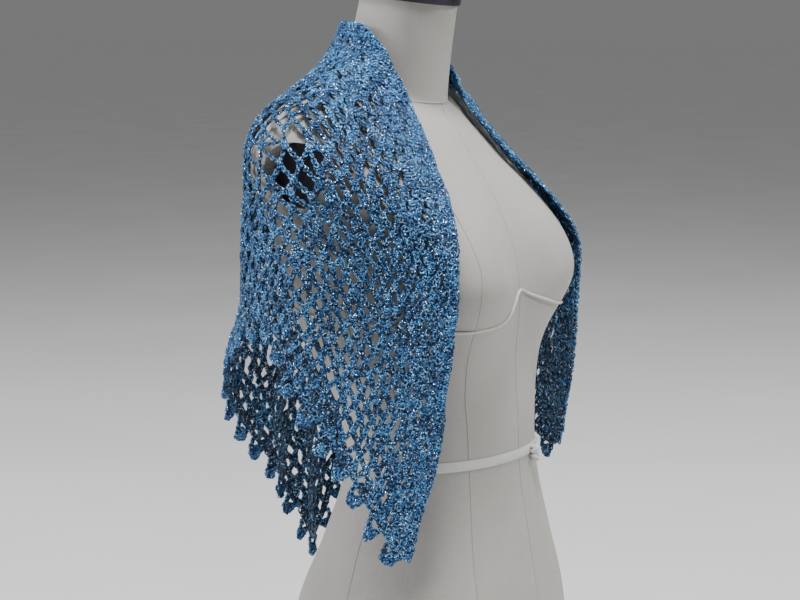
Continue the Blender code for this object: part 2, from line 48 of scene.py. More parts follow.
# Form
NECK_TOP = 0.745
NECK_TILT = math.radians(9)
NECK_TILT_START = 0.700
FORM_SECTIONS = (
    ("z", "half_width", "centre_y", "front", "back", "front_square", "back_square"),
    (0.000, 0.156, 0.004, 0.118, 0.120, 2.20, 2.2),
    (0.050, 0.161, 0.003, 0.124, 0.124, 2.20, 2.2),
    (0.100, 0.164, 0.001, 0.128, 0.124, 2.20, 2.2),
    (0.160, 0.156, 0.000, 0.122, 0.114, 2.20, 2.2),
    (0.220, 0.136, -0.003, 0.109, 0.095, 2.10, 2.1),
    (0.295, 0.113, -0.010, 0.090, 0.084, 2.10, 2.1),
    (0.340, 0.116, -0.008, 0.090, 0.092, 2.10, 2.1),
    (0.400, 0.128, 0.000, 0.094, 0.108, 2.30, 2.2),
    (0.460, 0.139, 0.007, 0.101, 0.120, 2.50, 2.4),
    (0.520, 0.152, 0.018, 0.100, 0.120, 2.40, 2.6),
    (0.565, 0.175, 0.034, 0.096, 0.110, 2.00, 2.6),
    (0.595, 0.182, 0.044, 0.087, 0.098, 1.60, 2.5),
    (0.617, 0.177, 0.050, 0.080, 0.088, 1.35, 2.3),
    (0.637, 0.158, 0.050, 0.060, 0.080, 1.40, 2.1),
    (0.657, 0.118, 0.048, 0.035, 0.066, 1.40, 2.0),
    (0.680, 0.068, 0.043, 0.030, 0.054, 1.60, 2.0),
    (0.705, 0.040, 0.034, 0.030, 0.046, 2.00, 2.0),
    (0.745, 0.030, 0.022, 0.030, 0.040, 2.00, 2.0),
)
NECK_SECTIONS = (
    ("z", "half_width", "front_y", "back_y"),
    (0.000, 0.0500, -0.008, 0.060), (0.600, 0.0520, -0.008, 0.090),
    (0.660, 0.0510, -0.013, 0.088), (0.700, 0.0495, -0.017, 0.082),
    (0.745, 0.0480, -0.022, 0.071),
)
NECK_BLEND = 14
BUST_ANGLE = 38
BUST_HEIGHT = 0.486
BUST_OUT = 0.036
BUST_SPREAD = 24
BUST_RISE = 0.078
BUST_FALL = 0.056
CAP_CENTRE_Y = 0.0245
ARMHOLE_Y = 0.046
ARMHOLE_Z = 0.584
ARMHOLE_RADIUS = 0.031
ARMHOLE_FLOOR_X = 0.155
CUTTER_DEPTH = 0.06
CUTTER_SIDES = 64
SHARP_EDGE = math.radians(35)

FORM_RING = 180
FORM_STEP = 0.0045
FORM_RADIUS_FOR_UV = 0.13
FOOT_ROUND = 0.004
FOOT_RINGS = (0.0, 0.0006, 0.0020)
FOOT_INSET = 0.03

# Trim on the form. Seams have a name, a top height, and angles from the front at heights.
SEAM_RADIUS = 0.0007
SEAM_SINK = 0.0004
SEAM_SIDES = 6
SEAM_POINTS = 110
SEAM_FOOT = 0.012
PRINCESS_LINE = (
    (0.02, -40), (0.18, -41), (0.29, -44), (0.37, -45), (0.45, -41), (0.50, -39), (0.55, -41),
    (0.62, -52),
)
SIDE_SEAMS = (
    ("princess", 0.628, PRINCESS_LINE),
    ("side", 0.530, ((0, -93),)),
    ("back", 0.620, ((0, -146),)),
)
MIDDLE_SEAMS = (("centre_front", 0.650, ((0, 0),)), ("centre_back", 0.700, ((0, 180),)))
NECK_SEAM_Z = 0.657
NECK_SEAM_RISE = 0.012
CORD_RADIUS = 0.0014
TRIM_SIDES = 8
BUST_CORD = (
    (-180, 0.450), (-140, 0.450), (-100, 0.448), (-75, 0.446), (-55, 0.442), (-42, 0.440),
    (-30, 0.441), (-18, 0.446), (-7, 0.459), (0, 0.469), (7, 0.463), (18, 0.455),
    (30, 0.447), (42, 0.444), (55, 0.443), (75, 0.446), (100, 0.448), (180, 0.450),
)
TAPE_Z = 0.3035
TAPE_WAVE = 0.004
TAPE_WIDTH = 0.0095
TAPE_THICKNESS = 0.0009
TAPE_PROFILE = (
    (-0.5, 0.0001), (-0.5, 1.0), (-0.46, 1.25), (0.46, 1.25), (0.5, 1.0), (0.5, 0.0001),
)
KNOT_ANGLE = 20.0
KNOT_Z = 0.3005
TAPE_ENDS = ((0.016, 0.010, 0.4), (0.019, -0.007, -0.3))

# Shawl, with angles counted from the centre back, towards the right side where positive
AXIS_Y = 0.03
CLOTH_TOP = 0.710
CLOTH_BOTTOM = 0.100
CLOTH_EASE = 0.0034
CLOTH_LIFT = 0.0050
HEIGHT_STEP = 0.0025
ACROSS_STEPS = 161
DOWN_STEP = 0.005
DOWN_REACH = 0.680
FRONT_EDGES = (
    ("z", "right_angle", "left_angle"),
    (0.100, 106, 111), (0.215, 119, 120), (0.245, 121, 123), (0.290, 125, 127), (0.325, 128, 130),
    (0.380, 130, 134), (0.445, 133, 136), (0.510, 134, 139), (0.550, 134, 140), (0.580, 132, 138),
    (0.620, 126, 128), (0.665, 108, 104), (0.690, 92, 87), (0.710, 75, 72),
)
HEM = (
    ("angle", "z"),
    (-143, 0.300), (-132, 0.288), (-120, 0.284), (-104, 0.338), (-90, 0.400), (-71, 0.438),
    (-50, 0.374), (-30, 0.264), (-20, 0.192), (-14, 0.175), (-6, 0.190), (2, 0.220), (10, 0.248),
    (20, 0.274), (30, 0.314), (38, 0.350), (46, 0.390), (56, 0.424), (66, 0.440), (76, 0.447),
    (84, 0.434), (90, 0.388), (97, 0.345), (105, 0.304), (113, 0.261), (120, 0.226), (139, 0.177),
)
EDGE_CURL_RIGHT = 0.0015
EDGE_CURL_LEFT = 0.0035
EDGE_CURL_REACH = 0.05

# The collar stands off the nape, and lies closer again towards the front.
COLLAR = (
    ("z", "out"),
    (0.640, 0.0000), (0.660, 0.0008), (0.675, 0.0038), (0.690, 0.0078), (0.700, 0.0086),
    (0.710, 0.0078),
)
COLLAR_REACH = 78
FOLDS = (
    ("angle", "half_width", "out", "top_z", "full_z"),
    (128, 9, 0.005, 0.50, 0.34), (108, 8, 0.004, 0.54, 0.40), (88, 9, 0.007, 0.56, 0.46),
    (62, 9, 0.004, 0.58, 0.50), (40, 17, 0.033, 0.49, 0.38), (8, 9, 0.012, 0.50, 0.30),
    (-18, 10, 0.014, 0.52, 0.32), (-44, 12, 0.016, 0.52, 0.38), (-72, 9, 0.006, 0.56, 0.44),
    (-96, 8, 0.007, 0.54, 0.40), (-120, 8, 0.004, 0.50, 0.34),
)

# Net of chains: a pitch along each row, and a height between rows
SEED = 11
PITCH = 0.0136
ROW = 0.0123
NECK_PITCH = 0.0088
NECK_ROW = 0.0078
NECK_REACH = 0.075
SHOULDER_ACROSS = 0.60
SHOULDER_WIDTH = 0.13
SHOULDER_DOWN = 0.175
SHOULDER_DEPTH = 0.052
SHOULDER_STRETCH = 0.95
SHOULDER_SPREAD_DOWN = 0.021
SHOULDER_THIN = 0.36
LOW_BACK_THICK = 0.24
LOW_BACK_ACROSS = 0.42
LOW_BACK_DOWN = (0.26, 0.40)
EDGE_CLOSE = 0.40
EDGE_CLOSE_REACH = 0.16
NODE_WANDER = 0.20
MISSED_SHARE = 0.022
LINK_SHARE = 0.07
ARCH_HANG = 0.45

# Yarn and its stitches
YARN_RADIUS = 0.00110
STITCH = 0.0056
STITCH_LENGTH = 0.0034
STITCH_HALF_WIDTH = 0.0023
STITCH_TILT = 0.0007
STITCH_POINTS = 6
YARN_SIDES = 4
CORE_HALF_WIDTH = 0.0028
CORE_HALF_DEPTH = 0.0013
CORE_SINK = 0.0003
KNOT_HALF_WIDTH = 0.0036
KNOT_LIFT = 0.0004
CORE_POINTS = 4
CORE_SIDES = 5
BAND_CORE = 0.0034
BAND_CHAINS = (0.0014, 0.0056)
BAND_TOP = 0.0006
BAND_CORE_POINTS = 260
BAND_CORE_BEYOND = 0.0034
HEM_CORE_POINTS = 160
HEM_CORE_BEYOND = 0.0020
SIDE_POINTS = 160
NECK_POINTS = 60
CLUSTER_RADIUS = 0.0066
CLUSTER_STITCHES = 8
CLOTH_MIDDLE = 0.0016
HEM_GAP = 0.0010
LOOP_PITCH = 0.030
LOOP_WIDTH = 0.021
LOOP_LENGTH = 0.020
LOOP_ROOT = 0.0030
LOOP_DROOP = 0.9
LOOP_STITCHES = 9

# Parts of the cloth by across values: a name, the first and last value, solid, flat size
SHEETS = (
    ("net_left_front_yarn", -1.01, -0.50, "net_left_front", (0.26, 0.42)),
    ("net_back_left_yarn", -0.50, 0.02, "net_back", (0.30, 0.50)),
    ("net_back_right_yarn", 0.02, 0.55, "net_back", (0.30, 0.50)),
    ("net_right_front_yarn", 0.55, 1.01, "net_right_front", (0.26, 0.50)),
)

# Colours: light and dark tones of woven cloth, its thread and its relief; then yarn and metal
LINEN = ((0.500, 0.482, 0.450), (0.395, 0.377, 0.345), 0.0011, 0.35)
SEAM_LINEN = ((0.490, 0.470, 0.435), (0.380, 0.360, 0.325), 0.0011, 0.35)
TAPE_COTTON = ((0.740, 0.730, 0.710), (0.620, 0.610, 0.590), 0.0016, 0.60)
CORD_COTTON = ((0.720, 0.700, 0.660), (0.580, 0.560, 0.520), 0.0020, 0.70)
DARK_METAL = (0.060, 0.056, 0.070)
PLIES_PER_LOOP = 12
PLY_CONTRAST = 0.12
GLINT_COLOUR = (0.58, 0.82, 1.0, 1)
YARN_TONES = (
    (0.39, (0.004, 0.016, 0.046)), (0.48, (0.008, 0.048, 0.160)), (0.56, (0.022, 0.160, 0.470)),
    (0.63, (0.170, 0.570, 1.000)),
)
# Inner yarn: a navy yarn made darker than the stitches' yarn, as painted shade inside the chains,
# knots and hem clusters
CORE_AND_PAINTED_SHADE_TONES = (
    (0.40, (0.002, 0.009, 0.028)), (0.62, (0.007, 0.032, 0.090)),
)

CAMERA_PLACE = (-1.5547, -0.8629, 0.7316)
CAMERA_TARGET = (-0.015, 0.026, 0.450)
CAMERA_LENS = 81.8
SENSOR_WIDTH = 36.0
LIGHT_TARGET = (0.0, 0.0, 0.42)
DISC_LIGHTS = (
    ("key", (1.2, -1.8, 2.3), 0.6, 46, (1, 1, 1)),
    ("rim", (-1.4, 2.1, 1.5), 0.8, 42, (0.95, 0.97, 1.0)),
    ("top", (-0.5, -0.3, 2.7), 0.6, 62, (1, 1, 1)),
)
SUN_PLACE = (-1.2, 0.6, 3.0)
SUN_ENERGY = 0.55
SUN_ANGLE = 0.5
SKY_STRENGTH = 0.095
SKY_TONES = (
    (0.00, (2.01, 2.01, 2.01)),
    (0.05, (2.01, 2.01, 2.01)),
    (0.12, (0.86, 0.87, 0.89)),
)
FLOOR_TONES = ((0.3, (0.80, 0.80, 0.80)), (0.7, (0.84, 0.84, 0.84)))
FLOOR_REACH = 40


def smooth_rows(table, at):
    """A table's columns at the given places of its first one, on a cubic through its rows."""
    columns, rows = table[0], np.array(table[1:], float)
    keys, values = rows[:, 0], rows[:, 1:]
    steps = np.diff(keys)[:, None]
    slopes = np.diff(values, axis=0) / steps
    inner = (slopes[:-1] * steps[1:] + slopes[1:] * steps[:-1]) / (steps[1:] + steps[:-1])
    tangents = np.vstack([slopes[:1], inner, slopes[-1:]])
    at = np.clip(np.asarray(at, float), keys[0], keys[-1])
    row = np.clip(np.searchsorted(keys, at, side="right") - 1, 0, len(keys) - 2)
    span = (keys[row + 1] - keys[row])[..., None]
    t = (at[..., None] - keys[row][..., None]) / span
    found = (
        (2 * t**3 - 3 * t**2 + 1) * values[row]
        + (t**3 - 2 * t**2 + t) * span * tangents[row]
        + (3 * t**2 - 2 * t**3) * values[row + 1]
        + (t**3 - t**2) * span * tangents[row + 1]
    )
    return SimpleNamespace(**dict(zip(columns[1:], np.moveaxis(found, -1, 0))))


def oval(angle, half_width, front, back, front_square=2.0, back_square=2.0):
    """Radius of a superellipse whose front and back halves differ."""
    across, along = np.sin(angle), np.cos(angle)
    depth = np.where(along > 0, front, back)
    power = np.where(along > 0, front_square, back_square)
    total = np.abs(across / half_width) ** power + np.abs(along / depth) ** power
    return total ** (-1 / power)


def form_point(angle, z):
    """Point of the form's skin, at an angle from the front, positive towards +X."""
    row = smooth_rows(FORM_SECTIONS, z)
    shape = (row.half_width, row.front, row.back, row.front_square, row.back_square)
    body = oval(angle, *shape)
    stem = smooth_rows(NECK_SECTIONS, z)
    neck = oval(angle, stem.half_width, row.centre_y - stem.front_y, stem.back_y - row.centre_y)
    radius = (body**NECK_BLEND + neck**NECK_BLEND) ** (1 / NECK_BLEND)
    height = z - BUST_HEIGHT
    reach = np.where(height > 0, BUST_RISE, BUST_FALL)
    for side in (-1, 1):
        away = (np.degrees(angle) - side * BUST_ANGLE + 180) % 360 - 180
        radius = radius + BUST_OUT * np.exp(-((away / BUST_SPREAD) ** 2) - (height / reach) ** 2)
    return radius * np.sin(angle), row.centre_y - radius * np.cos(angle)


def outline_round(x, y):
    """Corners of the convex outline round a set of points, in order."""
    points = sorted(zip(x, y))

    def half(run):
        corners = []
        for point in run:
            while len(corners) > 1:
                (ax, ay), (bx, by) = corners[-2], corners[-1]
                if (bx - ax) * (point[1] - ay) - (by - ay) * (point[0] - ax) > 0:
                    break
                corners.pop()
            corners.append(point)
        return corners[:-1]

    return np.array(half(points) + half(points[::-1]))


def radii_of(corners, angles):
    """Distances from the axis to a closed outline, in the directions of the angles."""
    edge = np.roll(corners, -1, axis=0) - corners
    across, along = np.sin(angles)[:, None], np.cos(angles)[:, None]
    turn = across * edge[:, 1] - along * edge[:, 0]
    turn = np.where(np.abs(turn) < 1e-12, -1e-12, turn)
    reach = (corners[:, 0] * edge[:, 1] - corners[:, 1] * edge[:, 0]) / turn
    return np.where(reach > 0, reach, np.inf).min(axis=1)


def drape_radii(heights, angles):
    """Radius of a cloth that hangs from the form, for each height, top first, and each angle."""
    ring = np.radians(np.arange(-180, 180, 0.5))
    widest = np.zeros(len(ring))
    rows = []
    for z in heights:
        x, y = form_point(ring, np.full_like(ring, z))
        bearing = np.arctan2(x, AXIS_Y - y)
        order = np.argsort(bearing)
        reach = np.hypot(x, y - AXIS_Y)[order]
        widest = np.maximum(widest, np.interp(ring, bearing[order], reach, period=TURN))
        corners = outline_round(widest * np.sin(ring), widest * np.cos(ring))
        rows.append(radii_of(corners, angles))
    return np.array(rows)


def unit(vectors):
    return vectors / np.maximum(np.linalg.norm(vectors, axis=-1, keepdims=True), 1e-12)


def square_to(out, along):
    """A direction turned until it is at right angles to another one."""
    return unit(out - (out * along).sum(-1, keepdims=True) * along)


def running(steps):
    """Sums of all the steps before each place, from 0."""
    return np.concatenate([[0], np.cumsum(steps)])


def path_marks(path):
    """Distance along a path at each of its points."""
    return running(np.linalg.norm(np.diff(path, axis=0), axis=1))


def between(at, marks, rows):
    """The rows that belong to marks, read off at the places in between."""
    return np.stack([np.interp(at, marks, axis) for axis in rows.T], -1)


class Drape:
    """The shawl's surface: across 1 at the right front edge and -1 at the left one, and down
    the distance along the cloth from its top edge at the neck."""

    def __init__(self):
        self.across = np.linspace(-1, 1, ACROSS_STEPS)
        self.down = np.arange(0, DOWN_REACH, DOWN_STEP)
        heights = np.arange(CLOTH_TOP, CLOTH_BOTTOM - HEIGHT_STEP / 2, -HEIGHT_STEP)
        curl = EDGE_CURL_RIGHT * np.exp(-(((1 - self.across) / EDGE_CURL_REACH) ** 2))
        curl += EDGE_CURL_LEFT * np.exp(-(((1 + self.across) / EDGE_CURL_REACH) ** 2))
        edges = smooth_rows(FRONT_EDGES, heights)
        angles = np.radians(np.arange(-180, 181, 1.0))
        radii = drape_radii(heights, angles)
        columns, hem = [], []
        for across, lip in zip(self.across, curl):
            back_angle = across * (edges.right_angle if across > 0 else edges.left_angle)
            bearing = np.radians(back_angle - 180)
            bearing = (bearing + math.pi) % (TURN) - math.pi
            radius = np.array([np.interp(b, angles, row) for b, row in zip(bearing, radii)])
            radius = radius + CLOTH_EASE + lip + self.folds(back_angle, heights)
            x, y = radius * np.sin(bearing), AXIS_Y - radius * np.cos(bearing)
            line = np.stack([x, y, heights + CLOTH_LIFT], axis=-1)
            length = path_marks(line)
            columns.append(between(self.down, length, line))
            above = heights - smooth_rows(HEM, back_angle).z
            crossing = int(np.argmax(above < 0))
            share = above[crossing - 1] / (above[crossing - 1] - above[crossing])
            hem.append(length[crossing - 1] + share * (length[crossing] - length[crossing - 1]))
        self.grid = np.array(columns)
        self.hem = np.array(hem)
        fall = np.gradient(self.grid, axis=1)
        along = np.gradient(self.grid, axis=0)
        self.out = unit(np.cross(fall, along))

    @staticmethod
    def folds(back_angle, heights):
        collar = smooth_rows(COLLAR, heights).out
        out = collar * np.exp(-((back_angle / COLLAR_REACH) ** 4))
        for row in FOLDS[1:]:
            fold = SimpleNamespace(**dict(zip(FOLDS[0], row)))
            drop = np.clip((fold.top_z - heights) / (fold.top_z - fold.full_z), 0, 1)
            swell = drop * drop * (3 - 2 * drop)
            away = (back_angle - fold.angle) / fold.half_width
            out = out + fold.out * swell * np.exp(-(away**2))
        return out

    def look_up(self, values, across, down):
        across, down = np.broadcast_arrays(np.asarray(across, float), np.asarray(down, float))
        i = np.clip((across + 1) / 2 * (len(self.across) - 1), 0, len(self.across) - 1.001)
        j = np.clip(down / DOWN_STEP, 0, len(self.down) - 1.001)
        a, b = i.astype(int), j.astype(int)
        s, t = (i - a)[..., None], (j - b)[..., None]
        near = values[a, b] * (1 - t) + values[a, b + 1] * t
        far = values[a + 1, b] * (1 - t) + values[a + 1, b + 1] * t
        return near * (1 - s) + far * s

    def point(self, across, down):
        return self.look_up(self.grid, across, down)

    def normal(self, across, down):
        return unit(self.look_up(self.out, across, down))

    def hem_down(self, across):
        return np.interp(across, self.across, self.hem)

    def area(self, first, last):
        """Flat area of the cloth between two across values, above the hem."""
        middle = (self.across[1:] + self.across[:-1]) / 2
        side = np.linalg.norm(np.diff(self.grid, axis=0), axis=-1)
        total = 0.0
        for k in np.nonzero((middle > first) & (middle < last))[0]:
            reach = self.down < self.hem_down(middle[k])
            total += float((side[k][reach] * DOWN_STEP).sum())
        return total


# Meshes and materials


def node(tree, kind, inputs=(), **settings):
    """A shader node; an input's value is a constant or another node's output."""
    made = tree.nodes.new("ShaderNode" + kind)
    for name, value in settings.items():
        setattr(made, name, value)
    for key, value in dict(inputs).items():
        if isinstance(value, bpy.types.NodeSocket):
            tree.links.new(value, made.inputs[key])
        else:
            made.inputs[key].default_value = value
    return made


def calc(tree, operation, a, b=0.0, c=0.0):
    return node(tree, "Math", {0: a, 1: b, 2: c}, operation=operation).outputs[0]


def map_range(tree, value, low, high, from_low=0.0, from_high=1.0):
    """A value moved from one range to another, and kept inside it."""
    ends = {"From Min": from_low, "From Max": from_high, "To Min": low, "To Max": high}
    return node(tree, "MapRange", {"Value": value, **ends}).outputs[0]


def ramp(tree, factor, stops):
    """Colours at places from 0 to 1."""
    made = node(tree, "ValToRGB", {"Fac": factor})
    elements = made.color_ramp.elements
    while len(elements) < len(stops):
        elements.new(0.5)
    for element, (place, colour) in zip(elements, stops):
        element.position = place
        element.color = (*colour, 1)
    return made.outputs["Color"]


def noise(tree, at, scale, detail=2.0):
    inputs = {"Vector": at, "Scale": scale, "Detail": detail}
    return node(tree, "TexNoise", inputs).outputs["Fac"]


def grain(tree, at, stretch):
    """Noise with its own scale along each axis."""
    mapped = node(tree, "Mapping", {"Vector": at, "Scale": stretch})
    return noise(tree, mapped.outputs[0], 1.0)


def bump(tree, height, strength, distance, normal=None):
    inputs = {"Height": height, "Strength": strength, "Distance": distance}
    if normal is not None:
        inputs["Normal"] = normal
    return node(tree, "Bump", inputs).outputs["Normal"]


def axes(tree, vector):
    return node(tree, "SeparateXYZ", {"Vector": vector}).outputs


def new_material(name, constants):
    """A material, its tree, its shader, and its places by the object and by the UV map."""
    made = bpy.data.materials.new(name)
    made.use_nodes = True
    tree = made.node_tree
    shader = tree.nodes["Principled BSDF"]
    for key, value in constants.items():
        shader.inputs[key].default_value = value
    place = node(tree, "TexCoord")
    return made, tree, shader, place.outputs["Object"], place.outputs["UV"]


def connect(shader, **outputs):
    """Links outputs to the shader's inputs."""
    for key, value in outputs.items():
        shader.id_data.links.new(value, shader.inputs[key.replace("_", " ")])


def linen_material(name, light, dark, thread, strength):
    """Plain weave, with slubs, an uneven tone and a dry surface."""
    looks = {"Metallic": 0.0, "Sheen Weight": 0.12, "Sheen Roughness": 0.5}
    made, tree, shader, spot, flat = new_material(name, looks)
    u, v, _ = axes(tree, flat)
    turns = TURN / thread
    threads = calc(tree, "MULTIPLY", u, turns), calc(tree, "MULTIPLY", v, turns)
    warp, weft = (calc(tree, "SINE", thread) for thread in threads)
    weave = calc(tree, "MULTIPLY_ADD", calc(tree, "MULTIPLY", warp, weft), 0.5, 0.5)
    slubs = [grain(tree, flat, stretch) for stretch in ((60, 1400, 1), (1400, 60, 1))]
    slub = calc(tree, "MULTIPLY", *slubs)
    patches = noise(tree, spot, 9.0, 3.0)
    tone = calc(tree, "MULTIPLY_ADD", slub, 0.9, calc(tree, "MULTIPLY", patches, 0.8))
    fine = bump(tree, weave, strength, 0.0003)
    connect(
        shader,
        Base_Color=ramp(tree, tone, ((0.30, dark), (0.75, light))),
        Roughness=map_range(tree, patches, 0.78, 0.92, 0.3, 0.7),
        Normal=bump(tree, slub, strength, 0.0006, fine),
    )
    return made


def metal_material(name, colour):
    """Dark satin metal, with a faint turned grain and rubbed patches."""
    made, tree, shader, spot, _ = new_material(name, {"Metallic": 0.9})
    patches = noise(tree, spot, 26.0, 4.0)
    lighter = tuple(1.6 * c for c in colour)
    connect(
        shader,
        Base_Color=ramp(tree, patches, ((0.35, colour), (0.75, lighter))),
        Roughness=map_range(tree, patches, 0.26, 0.44, 0.3, 0.7),
        Normal=bump(tree, grain(tree, spot, (40, 40, 1500)), 0.12, 0.0004),
    )
    return made


def yarn_material(name, tones):
    """Blue yarn spun with a metallic thread: plies, fuzz, uneven dye and small bright glints."""
    looks = {"Sheen Weight": 0.15, "Sheen Roughness": 0.4, "Sheen Tint": (0.25, 0.55, 1.0, 1)}
    made, tree, shader, spot, flat = new_material(name, looks)
    u, v, _ = axes(tree, flat)
    dye = noise(tree, spot, 60.0, 3.0)
    flecks = noise(tree, spot, 600.0, 2.0)
    lay = calc(tree, "MULTIPLY_ADD", v, 2.0, u)
    plies = calc(tree, "SINE", calc(tree, "MULTIPLY", lay, TURN))
    tone = calc(tree, "MULTIPLY_ADD", dye, 0.45, flecks)
    tone = calc(tree, "MULTIPLY_ADD", plies, PLY_CONTRAST, tone)
    blue = ramp(tree, calc(tree, "MULTIPLY", tone, 0.69), tones)
    cells = node(tree, "TexVoronoi", {"Vector": spot, "Scale": 900.0})
    chance = node(tree, "SeparateColor", {0: cells.outputs["Color"]}).outputs[0]
    glint = map_range(tree, chance, 0.0, 1.0, 0.89, 0.95)
    mix = {"Factor": glint, 6: blue, 7: GLINT_COLOUR}
    connect(
        shader,
        Base_Color=node(tree, "Mix", mix, data_type="RGBA").outputs[2],
        Metallic=map_range(tree, glint, 0.25, 0.85),
        Roughness=map_range(tree, glint, 0.42, 0.18),
        Normal=bump(tree, flecks, 0.40, 0.0005, bump(tree, plies, 0.45, 0.0003)),
    )
    return made


def add_object(name, data):
    made = bpy.data.objects.new(name, data)
    bpy.context.scene.collection.objects.link(made)
    return made


def add_mesh(name, points, faces, uv, made):
    """A smooth mesh piece from arrays; uv has one row for each corner of each face."""
    mesh = bpy.data.meshes.new(name)
    mesh.from_pydata(points, [], faces)
    layer = mesh.uv_layers.new(name="UVMap")
    layer.data.foreach_set("uv", np.asarray(uv, np.float32).ravel())
    mesh.materials.append(made)
    mesh.shade_smooth()
    return add_object(name, mesh)


def grid_faces(rows, columns, closed=False):
    """Quads of rings of points, and their corners' (row, column) for the UV map."""
    r = np.arange(rows if closed else rows - 1)
    r, c = (m.ravel() for m in np.meshgrid(r, np.arange(columns), indexing="ij"))
    corners = np.stack([(r, c), (r, c + 1), (r + 1, c + 1), (r + 1, c)])
    index = (corners[:, 0] % rows) * columns + corners[:, 1] % columns
    return index.T, np.moveaxis(corners, -1, 0)


def with_ends(faces, rows, columns):
    """Faces as lists, with a flat one over the first row of points and over the last."""
    last = (rows - 1) * columns
    ends = [list(range(columns))[::-1], list(range(last, last + columns))]
    return [list(map(int, face)) for face in faces] + ends


def tube(name, path, radius, sides, made, closed=False, reference=(0, 0, 1)):
    """A round cord along a path; radius may change along it. Its ends are rounded off."""
    radius = np.broadcast_to(radius, len(path))
    if closed:
        ahead = np.roll(path, -1, 0) - np.roll(path, 1, 0)
    else:
        way = unit(np.gradient(path, axis=0))
        first, last = way[0] * radius[0] * 0.7, way[-1] * radius[-1] * 0.7
        path = np.vstack([path[0] - first, path, path[-1] + last])
        radius = np.concatenate([[radius[0] * 0.35], radius, [radius[-1] * 0.35]])
        ahead = np.gradient(path, axis=0)
    ahead = unit(ahead)
    side = unit(np.cross(ahead, reference))
    up = np.cross(side, ahead)
    turn = np.arange(sides) * TURN / sides
    ring = np.cos(turn)[:, None] * side[:, None] + np.sin(turn)[:, None] * up[:, None]
    points = path[:, None] + ring * radius[:, None, None]
    faces, corners = grid_faces(len(path), sides, closed)
    length = path_marks(path)
    length = np.append(length, length[-1] + np.linalg.norm(path[0] - path[-1]))
    uv = np.stack([length[corners[..., 0]], corners[..., 1] / sides * 0.01], -1)
    uv = uv.reshape(-1, 2)
    if not closed:
        faces = with_ends(faces, len(path), sides)
        uv = np.vstack([uv, np.zeros((2 * sides, 2))])
    return add_mesh(name, points.reshape(-1, 3), faces, uv, made)


def stitches(name, centres, along, out, made, rng, size=1.0):
    """Loops of yarn like a chain's links, each tilted over the next, joined in one mesh."""
    count = len(centres)
    along = unit(along)
    out = square_to(out, along)
    side = np.cross(out, along)
    spread = rng.uniform(0.86, 1.14, (4, count, 1))
    size = np.broadcast_to(size, count)[:, None]
    turn = np.arange(STITCH_POINTS) * TURN / STITCH_POINTS
    turn = turn[None] + rng.uniform(0, TURN, (count, 1))
    ahead = STITCH_LENGTH * spread[0] * size * np.cos(turn)
    across = STITCH_HALF_WIDTH * spread[1] * size * np.sin(turn) * (1 - 0.25 * np.cos(turn))
    rise = STITCH_TILT * spread[2] * np.cos(turn)
    roll = rng.normal(0, 0.20, (count, 1))
    rise = rise + across * roll
    shift = rng.normal(0, 0.0003, (count, 3))
    path = (centres + shift)[:, None] + (
        ahead[..., None] * along[:, None]
        + across[..., None] * side[:, None]
        + rise[..., None] * out[:, None]
    )
    tangent = unit(np.roll(path, -1, 1) - np.roll(path, 1, 1))
    inward = unit(np.cross(tangent, np.broadcast_to(out[:, None], tangent.shape)))
    lift = np.cross(inward, tangent)
    around = (np.arange(YARN_SIDES) + 0.5) * TURN / YARN_SIDES
    thick = YARN_RADIUS * spread[3][..., None, None]
    ring = np.cos(around)[:, None] * inward[:, :, None] + np.sin(around)[:, None] * lift[:, :, None]
    points = path[:, :, None] + ring * thick
    faces, corners = grid_faces(STITCH_POINTS, YARN_SIDES, True)
    block = STITCH_POINTS * YARN_SIDES
    index = faces + (np.arange(count) * block)[:, None, None]
    one = np.stack(
        [corners[..., 0] * PLIES_PER_LOOP / STITCH_POINTS, corners[..., 1] / YARN_SIDES], -1
    )
    uv = np.broadcast_to(one, (count, *one.shape))
    return add_mesh(name, points.reshape(-1, 3), index.reshape(-1, 4), uv.reshape(-1, 2), made)


# Form


def tilt_neck(points):
    """The neck's top leans down towards the front."""
    lean = np.clip((points[..., 2] - NECK_TILT_START) / (NECK_TOP - NECK_TILT_START), 0, None)
    points[..., 2] += lean * math.tan(NECK_TILT) * (points[..., 1] - CAP_CENTRE_Y)
    return points


def form_skin(angles, heights, off=0.0):
    """Points of the skin for angles in degrees from the front, moved off it along its normal."""
    angles = np.radians(angles)
    heights = np.broadcast_to(heights, angles.shape)

    def at(a, z):
        x, y = form_point(a, z)
        return tilt_neck(np.stack([x, y, z], -1))

    here = at(angles, heights)
    if not off:
        return here
    step_angle, step_height = 0.004, 0.0008
    side = at(angles + step_angle, heights) - at(angles - step_angle, heights)
    rise = at(angles, heights + step_height) - at(angles, heights - step_height)
    return here + unit(np.cross(side, rise)) * off


